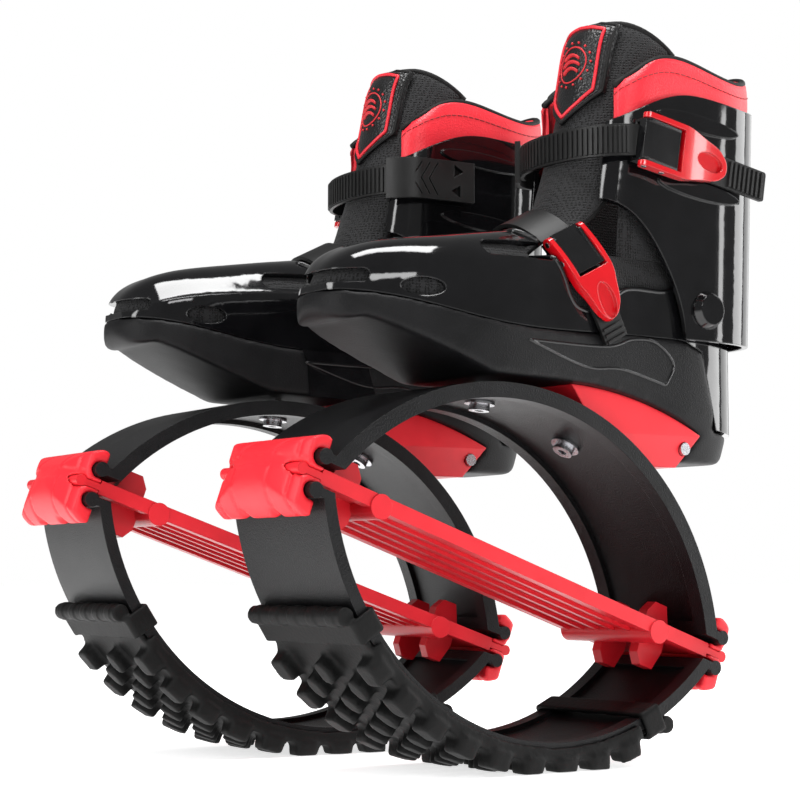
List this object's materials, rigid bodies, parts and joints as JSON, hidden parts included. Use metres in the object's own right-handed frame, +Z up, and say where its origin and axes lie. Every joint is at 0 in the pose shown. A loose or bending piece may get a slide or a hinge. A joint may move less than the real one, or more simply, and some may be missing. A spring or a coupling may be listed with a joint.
{
  "type": "bounce boots",
  "caption": "Pair of bounce boots: hinged shell boots with padded liners and ratchet buckles, each on a bow of two curved leaf shells with a tension band and rubber tread.",
  "frame": {"origin": "on the floor, under the middle of the pair", "axes": "+X towards the toes, +Y to the wearer's left, +Z up"},
  "size_m": [0.421, 0.3042, 0.475],
  "materials": {
    "bow_plastic": "fine textured black moulding",
    "red_plastic": "satin red moulding",
    "band_plastic": "satin red moulding",
    "tread_rubber": "matte black rubber",
    "sole_plastic": "grained matte black",
    "gloss_shell": "high gloss black",
    "strap_plastic": "semi-matte black",
    "red_gloss": "gloss red",
    "steel": "plain steel",
    "lining": "black mesh over foam",
    "red_leather": "fine grained red leatherette",
    "black_leather": "pebbled black leather"
  },
  "bodies": {
    "bows": {"left_upper_shell": "bow_plastic", "left_lower_shell": "bow_plastic", "left_front_cap": "red_plastic", "left_rear_cap": "red_plastic", "left_tension_band": "band_plastic", "left_tread": "tread_rubber", "left_tread_clamps": "tread_rubber", "right_upper_shell": "bow_plastic", "right_lower_shell": "bow_plastic", "right_front_cap": "red_plastic", "right_rear_cap": "red_plastic", "right_tension_band": "band_plastic", "right_tread": "tread_rubber", "right_tread_clamps": "tread_rubber"},
    "left_boot": {"left_sole": "sole_plastic", "left_heel_wedge": "red_plastic", "left_wedge_bolts": "steel", "left_shell_bolts": "steel", "left_boot_shell": "gloss_shell", "left_cuff_pivots": "gloss_shell", "left_insole": "lining", "left_liner": "lining", "left_instep_strap": "strap_plastic", "left_instep_ladder": "strap_plastic", "left_instep_buckle_base": "strap_plastic"},
    "left_cuff_body": {"left_cuff": "gloss_shell", "left_collar": "red_leather", "left_tongue": "lining", "left_tongue_patch": "black_leather", "left_upper_strap": "strap_plastic", "left_strap_anchor": "strap_plastic", "left_upper_buckle_base": "strap_plastic"},
    "left_upper_lever": {"left_upper_buckle_lever": "red_gloss", "left_upper_buckle_pins": "steel"},
    "left_instep_lever": {"left_instep_buckle_lever": "red_gloss", "left_instep_buckle_pins": "steel"},
    "right_boot": {"right_sole": "sole_plastic", "right_heel_wedge": "red_plastic", "right_wedge_bolts": "steel", "right_shell_bolts": "steel", "right_boot_shell": "gloss_shell", "right_cuff_pivots": "gloss_shell", "right_insole": "lining", "right_liner": "lining", "right_instep_strap": "strap_plastic", "right_instep_ladder": "strap_plastic", "right_instep_buckle_base": "strap_plastic"},
    "right_cuff_body": {"right_cuff": "gloss_shell", "right_collar": "red_leather", "right_tongue": "lining", "right_tongue_patch": "black_leather", "right_upper_strap": "strap_plastic", "right_strap_anchor": "strap_plastic", "right_upper_buckle_base": "strap_plastic"},
    "right_upper_lever": {"right_upper_buckle_lever": "red_gloss", "right_upper_buckle_pins": "steel"},
    "right_instep_lever": {"right_instep_buckle_lever": "red_gloss", "right_instep_buckle_pins": "steel"}
  },
  "joints": [
    {"name": "left_bow_spring", "type": "slide", "parent": "bows", "child": "left_boot", "axis": [-0.3303, -0.0121, 0.9438], "range_m": [-0.016, 0], "stiffness_N_per_m": 15000, "springref_m": 0.0025, "deforming": ["left_upper_shell"]},
    {"name": "left_cuff_pivot", "type": "hinge", "parent": "left_boot", "child": "left_cuff_body", "pos_m": [-0.14637, 0.08687, 0.28705], "axis": [-0.0366, 0.9993, 0], "range_deg": [-6, 10], "stiffness_Nm_per_rad": 12, "deforming": ["left_liner", "left_tongue"]},
    {"name": "left_upper_lever_hinge", "type": "hinge", "parent": "left_cuff_body", "child": "left_upper_lever", "pos_m": [-0.08957, 0.148, 0.38971], "axis": [0.1649, 0.006, -0.9863], "range_deg": [0, 100]},
    {"name": "left_instep_lever_hinge", "type": "hinge", "parent": "left_boot", "child": "left_instep_lever", "pos_m": [-0.03913, 0.12885, 0.32647], "axis": [0.8936, 0.0328, -0.4478], "range_deg": [0, 100]},
    {"name": "right_bow_spring", "type": "slide", "parent": "bows", "child": "right_boot", "axis": [-0.3303, 0.0121, 0.9438], "range_m": [-0.016, 0], "stiffness_N_per_m": 15000, "springref_m": 0.0025, "deforming": ["right_upper_shell"]},
    {"name": "right_cuff_pivot", "type": "hinge", "parent": "right_boot", "child": "right_cuff_body", "pos_m": [-0.10377, -0.08687, 0.28705], "axis": [0.0366, 0.9993, 0], "range_deg": [-6, 10], "stiffness_Nm_per_rad": 12, "deforming": ["right_liner", "right_tongue"]},
    {"name": "right_upper_lever_hinge", "type": "hinge", "parent": "right_cuff_body", "child": "right_upper_lever", "pos_m": [-0.04697, -0.148, 0.38971], "axis": [-0.1649, 0.006, 0.9863], "range_deg": [0, 100]},
    {"name": "right_instep_lever_hinge", "type": "hinge", "parent": "right_boot", "child": "right_instep_lever", "pos_m": [0.00347, -0.12885, 0.32647], "axis": [-0.8936, 0.0328, 0.4478], "range_deg": [0, 100]}
  ]
}
